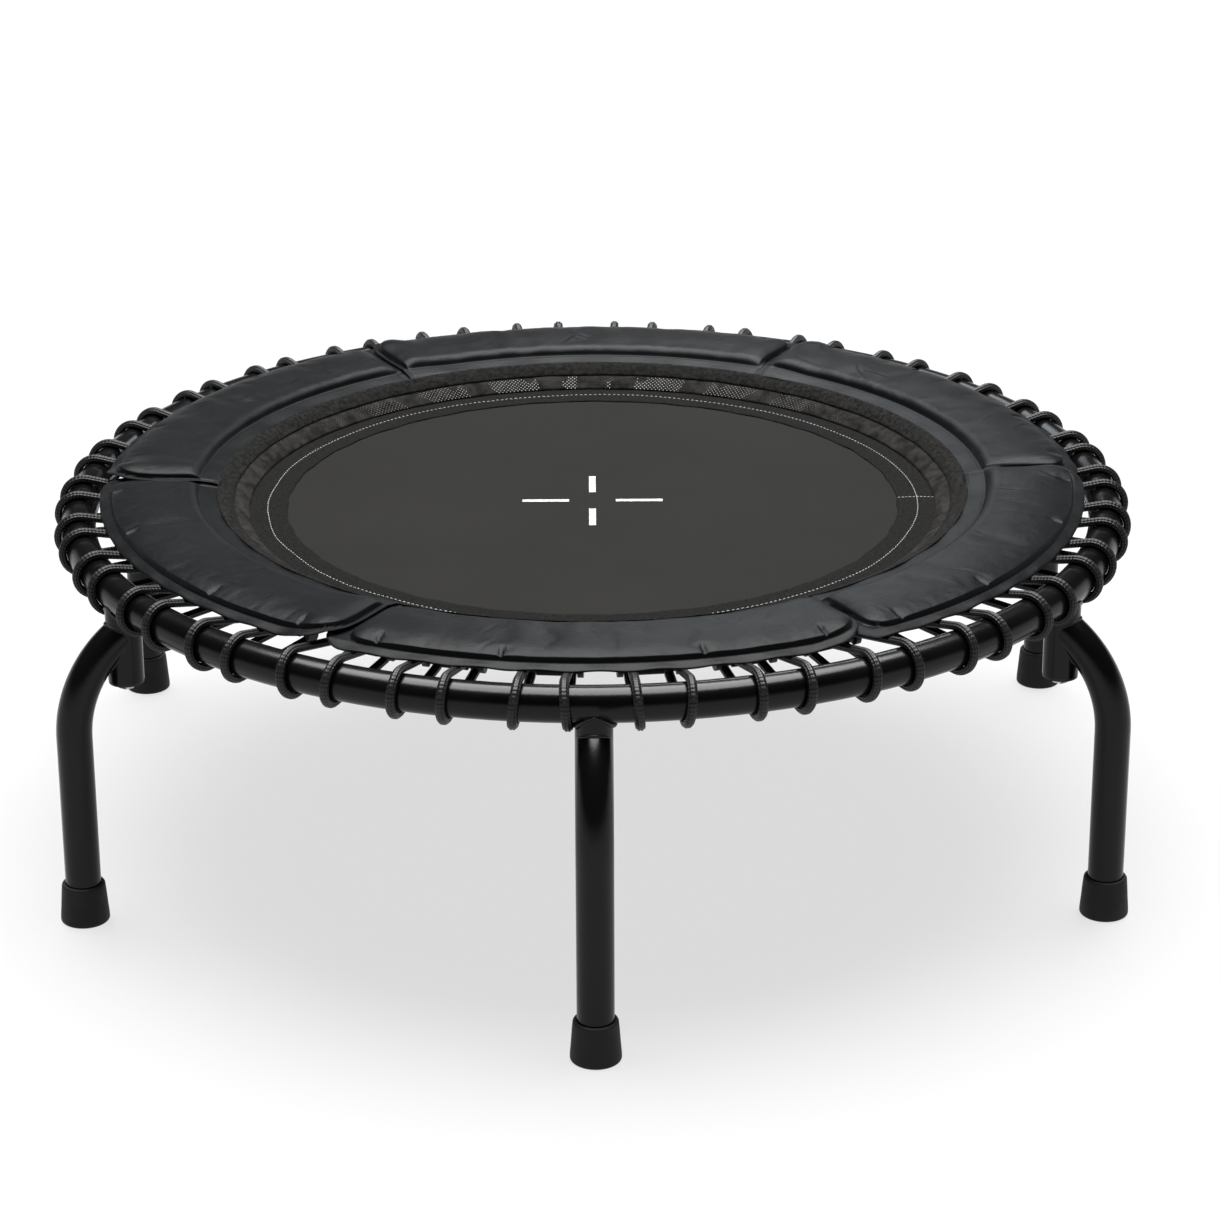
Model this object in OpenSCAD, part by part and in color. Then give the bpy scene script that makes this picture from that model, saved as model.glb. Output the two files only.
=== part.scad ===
// Round mini trampoline: a steel ring on six arched legs, a woven mat hung inside it
// on looped elastic cords, and a padded skirt of six panels that covers the cords.
// Millimetres, +Z up, origin on the floor at the centre. Leg 1 stands towards -Y.

/* [Frame] */
// Outside diameter of the frame ring
frame_od = 991; // [980:1:1000]
// Diameter of the ring and leg tubes
tube_d = 32; // [30:0.5:34]
// Wall thickness of the steel tubes
tube_wall = 2; // [1.5:0.1:2.5]
// Height of the top of the ring above the floor
frame_top = 317.5; // [310:0.5:330]

/* [Legs] */
// Distance from the centre to each leg's upright
leg_reach = 532; // [526:1:540]
// Bend radius of the leg's arch, at the tube's centreline
leg_bend_r = 104; // [100:1:108]
// Height at which the leg starts to bend inwards
leg_bend_z = 180; // [170:1:186]
// Height of the lower end of the upright sleeve
sleeve_bottom = 225; // [218:1:232]
// Diameter of the rubber foot on the floor
foot_d = 44; // [42:1:50]
// Height of the rubber foot
foot_h = 38; // [32:1:45]

/* [Cords] */
// Diameter of the elastic cord
cord_d = 7.5; // [6:0.25:8]
// Number of elastic cords round the ring
cords = 30; // [30:6:30]
// Angle between the two loops of one cord
loop_spread = 5; // [4.6:0.1:5.6]

/* [Mat] */
// Radius of the bound mat
mat_r = 323.5; // [320:0.5:326]
// Height of the middle of the mat
mat_z = 301; // [299:0.5:302]
// Thickness of the woven mat
mat_t = 1.2; // [1:0.1:1.4]
// Width of the binding tape round the mat
border_w = 37.5; // [30:0.5:42]

/* [Skirt] */
// Radius of the padded panels' inner seam
pad_inner_r = 368; // [366:0.5:372]
// Radius of the padded panels' outer seam
pad_outer_r = 448.5; // [446:0.5:451]
// Radius of the skirt's outer hem
hem_r = 459; // [456:0.5:460]
// Height of the panels' crown above the floor
pad_crown = 334; // [332:0.5:340]

/* [Hidden] */

$fn = 96;

// Six of everything that repeats: legs, skirt panels and bays of cords.
bays = 6;
bay_angle = 360 / bays;
first_leg_angle = -90;

tube_r = tube_d / 2;
bore_r = tube_r - tube_wall;
ring_r = frame_od / 2 - tube_r;
ring_z = frame_top - tube_r;
vent_r = 4;

// A straight run laps into a bend by this much, a hair thinner, so that the two fuse cleanly.
lap = 0.5;
lap_step = 0.03;

// The arch ends inside the sleeve, where the sleeve's outer wall trims it.
arch_angle = 58;
arch_end = 6;
collar_top = ring_z - 6.5;
collar_bottom = 280.8;
sleeve_top = collar_bottom - 0.2;
spigot_r = bore_r - 0.2;
spigot_wall = 2;
spigot_bottom = sleeve_bottom + 15;
nut_h = 10;
bolt_r = 3.95;
bolt_hole_r = 4;
bolt_head_flats = 13;
bolt_head_h = 5.3;
bolt_length = 30;
washer_r = tube_r - 0.3;
washer_hole_r = 4.3;
washer_t = 2.5;

foot_sole = 6;
foot_fit = 0.05;
foot_neck_r = tube_r + 3.5;
foot_edge = 0.8;

// One cord passes round the ring twice; both loops hook over a toggle on the mat's tab.
cord_r = cord_d / 2;
cord_gap = 0.3;
first_cord_angle = 276.8;
cord_angle = 360 / cords;
cords_per_bay = cords / bays;
toggle_r = 3.2;
toggle_reach = 398;
toggle_z = mat_z - 4;
toggle_length = 45.6;
knob_r = 6;
knob_t = 5;
wrap_r = tube_r + cord_r + 0.05;
hook_r = toggle_r + cord_r + cord_gap;
run_rise = ring_z - toggle_z;
run_reach = ring_r - toggle_reach;
run_tilt = atan2(run_rise, run_reach);
run_span = norm([run_reach, run_rise]);
run_taper = asin((wrap_r - hook_r) / run_span);

webbing_t = 1.6;
tab_w = 24;
tab_inner_r = mat_r - 22;
border_t = 1.2;
border_under_w = 24;
mat_top = mat_z + mat_t / 2;
mat_under = mat_z - mat_t / 2;
tab_top = mat_under - border_t;

// The skirt rises from the mat's edge through mesh and band to the panels.
mesh_t = 0.8;
mesh_clear = 0.6;
mesh_outer = [337, 312.6];
band_t = 1.6;
band_outer = [348, 319.8];
backing_t = 1.4;
backing_inner_seam_z = 323.6;
backing_outer_seam_z = 324;
hem_z = 321;
cover_t = 1.2;
cover_seam_h = 1.4;
crown_steps = 12;
crown_power = 2.4;
foam_gap = 0.15;
panel_gap = 0.16;
cover_end = 0.25;

function crown_z(t, top, base) = base + (top - base) * (1 - pow(abs(2 * t - 1), crown_power));
function crown(r_in, r_out, top, base) = [
    for (i = [0 : crown_steps])
        let (t = i / crown_steps)
        [r_in + t * (r_out - r_in), crown_z(t, top, base)]
];
function polar(centre, radius, angle) = centre + radius * [cos(angle), sin(angle)];
function leg_angle(k) = first_leg_angle + (k - 1) * bay_angle;

// A radial profile, drawn as [radius, height], spun through an arc of the circle.
module sweep(from, angle) {
    rotate([0, 0, from])
        rotate_extrude(angle = angle, $fn = 360)
            children();
}

// A radial profile made into a flat slab that is centred on the X axis.
module slab(width) {
    rotate([90, 0, 0])
        linear_extrude(height = width, center = true)
            children();
}

// A round bar bent in the radial plane about a centre given as [radius, height].
module bent_bar(centre, bend_r, bar_r, from, angle) {
    translate([centre[0], 0, centre[1]])
        rotate([90, 0, 0])
            rotate([0, 0, from])
                rotate_extrude(angle = angle)
                    translate([bend_r, 0])
                        circle(r = bar_r);
}

// A straight round bar in the radial plane, from one [radius, height] point to another.
module straight_bar(a, b, bar_r) {
    d = b - a;
    tilt = atan2(d[1], d[0]);
    translate([a[0], 0, a[1]])
        rotate([0, 90 - tilt, 0])
            translate([0, 0, -lap])
                cylinder(r = bar_r - lap_step, h = norm(d) + 2 * lap);
}

module ring_tube(bar_r) {
    translate([0, 0, ring_z])
        rotate_extrude($fn = 360)
            translate([ring_r, 0])
                circle(r = bar_r);
}

module at_each_leg(reach, height) {
    for (k = [1 : bays])
        rotate([0, 0, leg_angle(k)])
            translate([reach, 0, height])
                children();
}

module frame_ring() {
    color([0.08, 0.08, 0.09])
        difference() {
            ring_tube(tube_r);
            ring_tube(bore_r);
            at_each_leg(ring_r, ring_z - tube_d)
                cylinder(r = vent_r, h = tube_d);
        }
}

// A stub tube under the ring for each leg, with a collar that the leg's sleeve stops against.
module leg_spigots() {
    color([0.12, 0.12, 0.13])
        difference() {
            at_each_leg(ring_r, spigot_bottom)
                difference() {
                    union() {
                        cylinder(r = spigot_r, h = collar_top - spigot_bottom);
                        translate([0, 0, collar_bottom - spigot_bottom])
                            cylinder(r = tube_r, h = collar_top - collar_bottom);
                    }
                    translate([0, 0, -1])
                        cylinder(r = spigot_r - spigot_wall, h = collar_top - spigot_bottom + 2);
                }
            ring_tube(tube_r);
        }
}

module spigot_nuts() {
    color([0.6, 0.6, 0.62])
        at_each_leg(ring_r, spigot_bottom)
            difference() {
                cylinder(r = spigot_r - spigot_wall, h = nut_h);
                translate([0, 0, -1])
                    cylinder(r = bolt_hole_r, h = nut_h + 2);
            }
}

module leg_bolts() {
    head_z = sleeve_bottom - washer_t - bolt_head_h;
    color([0.6, 0.6, 0.62])
        at_each_leg(ring_r, head_z)
            union() {
                cylinder(d = bolt_head_flats / cos(30), h = bolt_head_h, $fn = 6);
                translate([0, 0, bolt_head_h - 1])
                    cylinder(r = bolt_r, h = bolt_length + 1);
            }
}

module leg_washers() {
    color([0.1, 0.1, 0.1])
        at_each_leg(ring_r, sleeve_bottom - washer_t)
            difference() {
                cylinder(r = washer_r, h = washer_t);
                translate([0, 0, -1])
                    cylinder(r = washer_hole_r, h = washer_t + 2);
            }
}

// The solid outline of one leg, or of its bore when given the bore's radius.
module leg_outline(bar_r, extra) {
    foot = [leg_reach, foot_sole + lap - extra];
    bend = [leg_reach, leg_bend_z];
    straight_bar(foot, bend, bar_r);
    bent_bar([leg_reach - leg_bend_r, leg_bend_z], leg_bend_r, bar_r, 0, arch_angle + extra);
}

module leg(k) {
    color([0.08, 0.08, 0.09])
        rotate([0, 0, leg_angle(k)])
            difference() {
                leg_outline(tube_r, 0);
                leg_outline(bore_r, 1);
                translate([ring_r, 0, sleeve_bottom - arch_end])
                    cylinder(r = tube_r, h = collar_top - sleeve_bottom + 2 * arch_end);
            }
}

module leg_sleeve(k) {
    color([0.08, 0.08, 0.09])
        rotate([0, 0, leg_angle(k)])
            difference() {
                translate([ring_r, 0, sleeve_bottom])
                    cylinder(r = tube_r, h = sleeve_top - sleeve_bottom);
                translate([ring_r, 0, sleeve_bottom - 1])
                    cylinder(r = bore_r, h = sleeve_top - sleeve_bottom + 2);
            }
}

module foot(k) {
    base_r = foot_d / 2;
    color([0.05, 0.05, 0.05])
        rotate([0, 0, leg_angle(k)])
            translate([leg_reach, 0, 0])
                rotate_extrude()
                    polygon([
                        [0, 0],
                        [base_r - foot_edge, 0],
                        [base_r, foot_edge],
                        [base_r, 4 * foot_edge],
                        [foot_neck_r, foot_h - 4],
                        [foot_neck_r - 0.9, foot_h - 1],
                        [foot_neck_r - 2.2, foot_h],
                        [tube_r + foot_fit, foot_h],
                        [tube_r + foot_fit, foot_sole],
                        [0, foot_sole]
                    ]);
}

// Panels run from one gap between legs to the next, with a hair's breadth between them.
module panel(k, end) {
    sweep(leg_angle(k) - bay_angle / 2 + end, bay_angle - 2 * end)
        children();
}

module pad_cover(k) {
    seam_in = backing_inner_seam_z + backing_t;
    seam_out = backing_outer_seam_z + backing_t;
    base = seam_out + cover_seam_h;
    color([0.24, 0.25, 0.27])
        difference() {
            panel(k, panel_gap)
                polygon(concat(
                    [[pad_inner_r, seam_in]],
                    crown(pad_inner_r, pad_outer_r, pad_crown, base),
                    [[pad_outer_r, seam_out]]
                ));
            panel(k, panel_gap + cover_end)
                polygon(concat(
                    [[pad_inner_r + cover_t, seam_in - 1]],
                    crown(pad_inner_r + cover_t, pad_outer_r - cover_t,
                        pad_crown - cover_t, base - cover_t / 2),
                    [[pad_outer_r - cover_t, seam_in - 1]]
                ));
        }
}

module pad_foam(k) {
    seam_out = backing_outer_seam_z + backing_t;
    inset = cover_t + foam_gap;
    base = seam_out + cover_seam_h;
    color([0.75, 0.72, 0.6])
        panel(k, panel_gap + cover_end + 0.03)
            polygon(concat(
                [[pad_inner_r + inset, seam_out + foam_gap]],
                crown(pad_inner_r + inset, pad_outer_r - inset,
                    pad_crown - inset, base - inset / 2),
                [[pad_outer_r - inset, seam_out + foam_gap]]
            ));
}

module pad_backing(k) {
    color([0.2, 0.21, 0.22])
        panel(k, panel_gap)
            polygon([
                band_outer,
                [pad_inner_r, backing_inner_seam_z],
                [pad_outer_r, backing_outer_seam_z],
                [hem_r, hem_z],
                [hem_r, hem_z + backing_t],
                [pad_outer_r, backing_outer_seam_z + backing_t],
                [pad_inner_r, backing_inner_seam_z + backing_t],
                band_outer + [0, backing_t]
            ]);
}

module skirt_band() {
    color([0.12, 0.11, 0.11])
        sweep(0, 360)
            polygon([
                mesh_outer,
                band_outer,
                band_outer + [0, band_t],
                mesh_outer + [0, band_t]
            ]);
}

module skirt_mesh() {
    low = [mat_r, mat_top + border_t + mesh_clear];
    color([0.16, 0.14, 0.13])
        sweep(0, 360)
            polygon([
                low,
                mesh_outer,
                mesh_outer + [0, mesh_t],
                low + [0, mesh_t]
            ]);
}

module mat() {
    color([0.27, 0.26, 0.25])
        translate([0, 0, mat_under])
            cylinder(r = mat_r, h = mat_t, $fn = 360);
}

module mat_border() {
    color([0.06, 0.06, 0.06])
        sweep(0, 360)
            polygon([
                [mat_r - border_w, mat_top],
                [mat_r, mat_top],
                [mat_r, mat_under],
                [mat_r - border_under_w, mat_under],
                [mat_r - border_under_w, mat_under - border_t],
                [mat_r + border_t, mat_under - border_t],
                [mat_r + border_t, mat_top + border_t],
                [mat_r - border_w, mat_top + border_t]
            ]);
}

module at_each_cord() {
    for (i = [0 : cords - 1])
        rotate([0, 0, first_cord_angle + i * cord_angle])
            children();
}

module tab() {
    ply = 2 * webbing_t;
    loop_r = toggle_r + 0.1;
    slab(tab_w)
        difference() {
            union() {
                polygon([
                    [tab_inner_r, tab_top - ply],
                    [mat_r, tab_top - ply],
                    [toggle_reach - loop_r - 0.8, toggle_z - webbing_t],
                    [toggle_reach - loop_r - 0.8, toggle_z + webbing_t],
                    [mat_r, tab_top],
                    [tab_inner_r, tab_top]
                ]);
                translate([toggle_reach, toggle_z])
                    circle(r = loop_r + webbing_t);
            }
            translate([toggle_reach, toggle_z])
                circle(r = loop_r);
        }
}

module mat_tabs() {
    color([0.1, 0.1, 0.1])
        at_each_cord()
            tab();
}

module toggle() {
    translate([toggle_reach, 0, toggle_z])
        rotate([90, 0, 0])
            union() {
                cylinder(r = toggle_r, h = toggle_length, center = true);
                for (side = [-1, 1])
                    translate([0, 0, side * (toggle_length + knob_t) / 2])
                        cylinder(r = knob_r, h = knob_t, center = true);
            }
}

module cord_toggles() {
    color([0.05, 0.05, 0.05])
        at_each_cord()
            toggle();
}

// One loop of cord: round the ring, down its upper run, round the toggle and back.
module cord_loop() {
    ring = [ring_r, ring_z];
    hook = [toggle_reach, toggle_z];
    upper = run_tilt + 90 + run_taper;
    lower = run_tilt - 90 - run_taper;
    union() {
        bent_bar(ring, wrap_r, cord_r, lower, 180 + 2 * run_taper);
        bent_bar(hook, hook_r, cord_r, upper, 180 - 2 * run_taper);
        for (side = [upper, lower])
            straight_bar(polar(hook, hook_r, side), polar(ring, wrap_r, side), cord_r);
    }
}

module elastic_cords(bay) {
    color([0.3, 0.3, 0.31])
        for (i = [0 : cords_per_bay - 1])
            for (side = [-1, 1])
                rotate([0, 0, first_cord_angle + ((bay - 1) * cords_per_bay + i) * cord_angle
                        + side * loop_spread / 2])
                    cord_loop();
}

frame_ring();
leg_spigots();
spigot_nuts();
leg_bolts();
leg_washers();
leg(1);  // leg_1
leg(2);  // leg_2
leg(3);  // leg_3
leg(4);  // leg_4
leg(5);  // leg_5
leg(6);  // leg_6
leg_sleeve(1);  // leg_sleeve_1
leg_sleeve(2);  // leg_sleeve_2
leg_sleeve(3);  // leg_sleeve_3
leg_sleeve(4);  // leg_sleeve_4
leg_sleeve(5);  // leg_sleeve_5
leg_sleeve(6);  // leg_sleeve_6
foot(1);  // foot_1
foot(2);  // foot_2
foot(3);  // foot_3
foot(4);  // foot_4
foot(5);  // foot_5
foot(6);  // foot_6
pad_cover(1);  // pad_cover_1
pad_cover(2);  // pad_cover_2
pad_cover(3);  // pad_cover_3
pad_cover(4);  // pad_cover_4
pad_cover(5);  // pad_cover_5
pad_cover(6);  // pad_cover_6
pad_foam(1);  // pad_foam_1
pad_foam(2);  // pad_foam_2
pad_foam(3);  // pad_foam_3
pad_foam(4);  // pad_foam_4
pad_foam(5);  // pad_foam_5
pad_foam(6);  // pad_foam_6
pad_backing(1);  // pad_backing_1
pad_backing(2);  // pad_backing_2
pad_backing(3);  // pad_backing_3
pad_backing(4);  // pad_backing_4
pad_backing(5);  // pad_backing_5
pad_backing(6);  // pad_backing_6
skirt_band();
skirt_mesh();
mat();
mat_border();
mat_tabs();
cord_toggles();
elastic_cords(1);  // elastic_cords_1
elastic_cords(2);  // elastic_cords_2
elastic_cords(3);  // elastic_cords_3
elastic_cords(4);  // elastic_cords_4
elastic_cords(5);  // elastic_cords_5
elastic_cords(6);  // elastic_cords_6
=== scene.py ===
"""Looks for a round mini trampoline: powder-coated tube, ribbed elastic cords, a woven mat
and a skirt of six padded panels. Metres throughout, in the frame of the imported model."""

import math

import bpy
import numpy as np
from mathutils import Matrix, Vector


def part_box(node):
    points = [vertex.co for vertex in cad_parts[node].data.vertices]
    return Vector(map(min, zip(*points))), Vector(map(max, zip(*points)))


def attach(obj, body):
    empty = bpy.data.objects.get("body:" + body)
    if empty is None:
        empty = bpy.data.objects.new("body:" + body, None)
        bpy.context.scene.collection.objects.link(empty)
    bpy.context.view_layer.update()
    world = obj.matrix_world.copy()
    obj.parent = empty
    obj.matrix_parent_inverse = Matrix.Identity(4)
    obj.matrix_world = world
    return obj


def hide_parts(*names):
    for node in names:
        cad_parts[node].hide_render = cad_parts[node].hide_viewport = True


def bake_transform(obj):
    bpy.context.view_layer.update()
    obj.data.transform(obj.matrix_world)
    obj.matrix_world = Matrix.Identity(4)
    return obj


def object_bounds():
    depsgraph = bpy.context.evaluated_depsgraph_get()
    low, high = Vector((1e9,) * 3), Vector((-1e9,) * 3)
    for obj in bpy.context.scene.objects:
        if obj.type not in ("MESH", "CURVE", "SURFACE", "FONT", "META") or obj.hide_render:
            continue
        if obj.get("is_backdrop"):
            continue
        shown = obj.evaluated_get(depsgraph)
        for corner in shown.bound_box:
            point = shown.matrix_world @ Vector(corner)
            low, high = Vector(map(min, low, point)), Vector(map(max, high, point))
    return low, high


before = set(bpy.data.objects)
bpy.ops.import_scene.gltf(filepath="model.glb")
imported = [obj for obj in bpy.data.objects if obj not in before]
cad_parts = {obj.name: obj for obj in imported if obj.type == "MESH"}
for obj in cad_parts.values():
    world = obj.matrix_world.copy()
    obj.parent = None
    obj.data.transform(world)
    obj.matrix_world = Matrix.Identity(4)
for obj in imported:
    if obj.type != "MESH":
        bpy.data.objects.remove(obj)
cad_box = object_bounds()

MM = 0.001
TAU = 2 * math.pi

# ---------------------------------------------------------------- sizes, read from the frame
ring_low, ring_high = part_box("frame_ring")
TUBE_R = (ring_high.z - ring_low.z) / 2
RING_R = ring_high.y - TUBE_R
RING_Z = (ring_high.z + ring_low.z) / 2

MAT_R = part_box("mat")[1].y
MAT_LOW, MAT_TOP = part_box("mat")[0].z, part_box("mat")[1].z
BORDER_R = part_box("mat_border")[1].y
BORDER_LOW, BORDER_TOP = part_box("mat_border")[0].z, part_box("mat_border")[1].z
MESH_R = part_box("skirt_mesh")[1].y
BAND_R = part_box("skirt_band")[1].y
PAD_OUTER_R = -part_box("pad_cover_1")[0].y
HEM_R = -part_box("pad_backing_1")[0].y
CROWN_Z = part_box("pad_cover_1")[1].z
TOGGLE_Z = (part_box("cord_toggles")[0].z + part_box("cord_toggles")[1].z) / 2
LEG_R = -(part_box("foot_1")[0].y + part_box("foot_1")[1].y) / 2

# Design values that the frame's boxes don't give.
BAYS = 6
CORDS = 30
FIRST_CORD = math.radians(276.8)
LOOP_SPREAD = math.radians(5)
TOGGLE_R = 398 * MM
HOOK_R = 7.25 * MM
CORD_WIDE = 4.15 * MM
CORD_THICK = 3.55 * MM
LEG_BEND_R = 104 * MM
LEG_BEND_Z = 180 * MM
PAD_INNER_R = 368 * MM
BORDER_INNER_R = MAT_R - 37.5 * MM


def leg_angle(k):
    """Azimuth of leg, and of panel, k from 1 to 6."""
    return math.radians(-90 + 60 * (k - 1))


# ---------------------------------------------------------------- camera, light and floor
def make_camera():
    """The photograph's viewpoint: 22 degrees above the floor, in front of leg 1."""
    data = bpy.data.cameras.new("camera")
    data.sensor_width = 36
    data.lens = 111.02
    cam = bpy.data.objects.new("camera", data)
    bpy.context.scene.collection.objects.link(cam)
    elevation, roll, distance = math.radians(22.083), math.radians(-0.229), 3.5816
    target = Vector((0.0161, 0, 0.1904))
    back = Vector((0, -math.cos(elevation), math.sin(elevation)))
    cam.location = target + back * distance
    up = back.to_track_quat("Z", "Y").to_matrix().to_4x4() @ Matrix.Rotation(roll, 4, "Z")
    turned = Matrix.Rotation(math.radians(-0.3), 4, "Z")
    cam.matrix_world = turned @ Matrix.Translation(cam.location) @ up
    bpy.context.scene.camera = cam


def studio_walls():
    """A pale backdrop round the horizon, and a dim studio above it."""
    world = bpy.data.worlds.new("studio")
    world.use_nodes = True
    nodes, links = world.node_tree.nodes, world.node_tree.links
    height = nodes.new("ShaderNodeSeparateXYZ")
    links.new(nodes.new("ShaderNodeTexCoord").outputs["Generated"], height.inputs[0])
    fade = nodes.new("ShaderNodeMapRange")
    fade.interpolation_type = "SMOOTHSTEP"
    fade.inputs["From Min"].default_value = 0.1
    fade.inputs["From Max"].default_value = 0.2
    fade.inputs["To Min"].default_value = 0.7
    fade.inputs["To Max"].default_value = 0.05
    links.new(height.outputs["Z"], fade.inputs["Value"])
    links.new(fade.outputs["Result"], nodes["Background"].inputs["Strength"])
    nodes["Background"].inputs["Color"].default_value = (1, 1, 1, 1)
    return world


def make_stage():
    """A white light table under one broad, soft overhead light that stands a little behind."""
    scene = bpy.context.scene
    scene.view_settings.view_transform = "Standard"
    scene.world = studio_walls()
    softbox = bpy.data.lights.new("softbox", "SUN")
    softbox.energy = 10
    softbox.angle = math.radians(54)
    lamp = bpy.data.objects.new("softbox", softbox)
    scene.collection.objects.link(lamp)
    lamp.rotation_euler = (math.radians(-15), 0, 0)
    bpy.ops.mesh.primitive_plane_add(size=60, location=(0, 0, 0))
    floor = bpy.context.object
    floor.name = "floor"
    paint = bpy.data.materials.new("light_table")
    paint.use_nodes = True
    shader = paint.node_tree.nodes["Principled BSDF"]
    shader.inputs["Base Color"].default_value = (0.11, 0.11, 0.11, 1)
    shader.inputs["Roughness"].default_value = 0.9
    shader.inputs["Specular IOR Level"].default_value = 0.0
    shader.inputs["Emission Color"].default_value = (1, 1, 1, 1)
    shader.inputs["Emission Strength"].default_value = 0.7
    floor.data.materials.append(paint)
    floor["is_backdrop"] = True


def make_glint():
    """A small cool light, low behind the mat, whose gloss on the front panels meets the camera."""
    data = bpy.data.lights.new("glint", "AREA")
    data.shape = "RECTANGLE"
    data.size = 0.5
    data.size_y = 0.18
    data.energy = 1.9
    data.color = (0.88, 0.95, 1.0)
    lamp = bpy.data.objects.new("glint", data)
    bpy.context.scene.collection.objects.link(lamp)
    lamp.location = (0.2, 1.0, 0.91)
    front_panel = Vector((0, -(PAD_INNER_R + PAD_OUTER_R) / 2, CROWN_Z))
    lamp.rotation_euler = (front_panel - lamp.location).to_track_quat("-Z", "Y").to_euler()
    lamp.visible_camera = False


make_camera()
make_stage()
make_glint()


# ---------------------------------------------------------------- materials
class Paint:
    """A Principled material with short helpers for the nodes that give it its detail."""

    def __init__(self, name, roughness, specular=0.5, **sockets):
        self.material = bpy.data.materials.new(name)
        self.material.use_nodes = True
        self.nodes = self.material.node_tree.nodes
        self.links = self.material.node_tree.links
        self.shader = self.nodes["Principled BSDF"]
        self.shader.inputs["Roughness"].default_value = roughness
        self.shader.inputs["Specular IOR Level"].default_value = specular
        for socket, value in sockets.items():
            self.shader.inputs[socket.replace("_", " ")].default_value = value
        self.height = None

    def wire(self, value, socket):
        if hasattr(value, "is_output"):
            self.links.new(value, socket)
        else:
            socket.default_value = value

    def math(self, operation, a, b=0.0, clamp=False):
        node = self.nodes.new("ShaderNodeMath")
        node.operation = operation
        node.use_clamp = clamp
        self.wire(a, node.inputs[0])
        self.wire(b, node.inputs[1])
        return node.outputs[0]

    def axes(self, source="UV"):
        """The three coordinates, in metres: UV marks on woven pieces, or object space."""
        where = self.nodes.new("ShaderNodeTexCoord").outputs[source]
        split = self.nodes.new("ShaderNodeSeparateXYZ")
        self.links.new(where, split.inputs[0])
        return split.outputs

    def noise(self, per_metre, detail=3.0, rough=0.55):
        """Soft random mottling in object space."""
        node = self.nodes.new("ShaderNodeTexNoise")
        self.links.new(self.nodes.new("ShaderNodeTexCoord").outputs["Object"], node.inputs["Vector"])
        node.inputs["Scale"].default_value = per_metre
        node.inputs["Detail"].default_value = detail
        node.inputs["Roughness"].default_value = rough
        return node.outputs["Fac"]

    def waves(self, coordinate, pitch):
        """A sine along a coordinate, from -1 to 1, one full wave in each pitch."""
        return self.math("SINE", self.math("MULTIPLY", coordinate, TAU / pitch))

    def weave(self, across, along, pitch_across, pitch_along):
        """A plain weave's over and under, from 0 to 1."""
        over = self.waves(across, 2 * pitch_across)
        under = self.waves(along, 2 * pitch_along)
        return self.half(self.math("MULTIPLY", over, under))

    def half(self, signed):
        """Brings -1 to 1 into 0 to 1."""
        return self.math("ADD", self.math("MULTIPLY", signed, 0.5), 0.5)

    def colour(self, factor, dark, light, low=0.3, high=0.7):
        """Base colour that runs from dark to light as the factor goes from low to high."""
        ramp = self.nodes.new("ShaderNodeValToRGB")
        ramp.color_ramp.elements[0].position = low
        ramp.color_ramp.elements[1].position = high
        ramp.color_ramp.elements[0].color = (*dark, 1)
        ramp.color_ramp.elements[1].color = (*light, 1)
        self.links.new(factor, ramp.inputs[0])
        self.links.new(ramp.outputs[0], self.shader.inputs["Base Color"])

    def roughness(self, factor, low, high):
        spread = self.math("MULTIPLY", factor, high - low)
        self.wire(self.math("ADD", spread, low, clamp=True), self.shader.inputs["Roughness"])

    def bump(self, factor, depth, strength=1.0):
        """Relief of a real depth in metres; each call adds to the one before."""
        node = self.nodes.new("ShaderNodeBump")
        node.inputs["Strength"].default_value = strength
        node.inputs["Distance"].default_value = depth
        self.links.new(factor, node.inputs["Height"])
        if self.height is not None:
            self.links.new(self.height, node.inputs["Normal"])
        self.height = node.outputs["Normal"]
        self.links.new(self.height, self.shader.inputs["Normal"])


def powder_coat():
    p = Paint("powder_coat", 0.3, 0.2)
    p.colour(p.noise(9, 4), (0.0009, 0.0009, 0.001), (0.0028, 0.0028, 0.003))
    p.roughness(p.noise(22, 5), 0.17, 0.27)
    p.bump(p.noise(420, 2), 0.00009, 0.6)
    return p.material


def weld_metal():
    p = Paint("painted_weld", 0.36, 0.3)
    p.colour(p.noise(60, 4), (0.0025, 0.0025, 0.0028), (0.007, 0.007, 0.0075))
    p.roughness(p.noise(150, 3), 0.28, 0.45)
    p.bump(p.noise(500, 3), 0.00025, 0.8)
    return p.material


def zinc():
    p = Paint("zinc_plate", 0.32, Metallic=1.0)
    p.colour(p.noise(200, 4), (0.42, 0.42, 0.44), (0.62, 0.62, 0.6))
    p.roughness(p.noise(90, 4), 0.22, 0.45)
    p.bump(p.noise(900, 2), 0.00003, 0.6)
    return p.material


def moulded_plastic():
    p = Paint("moulded_plastic", 0.45, 0.3)
    p.colour(p.noise(40, 3), (0.003, 0.003, 0.003), (0.008, 0.008, 0.008))
    p.roughness(p.noise(120, 3), 0.38, 0.55)
    p.bump(p.noise(1400, 2), 0.00005, 0.7)
    return p.material


def rubber():
    p = Paint("moulded_rubber", 0.6, 0.25)
    p.colour(p.noise(30, 5), (0.003, 0.003, 0.003), (0.008, 0.008, 0.0078))
    p.roughness(p.noise(70, 4), 0.52, 0.78)
    p.bump(p.noise(1100, 3), 0.00008, 0.7)
    return p.material


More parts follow.
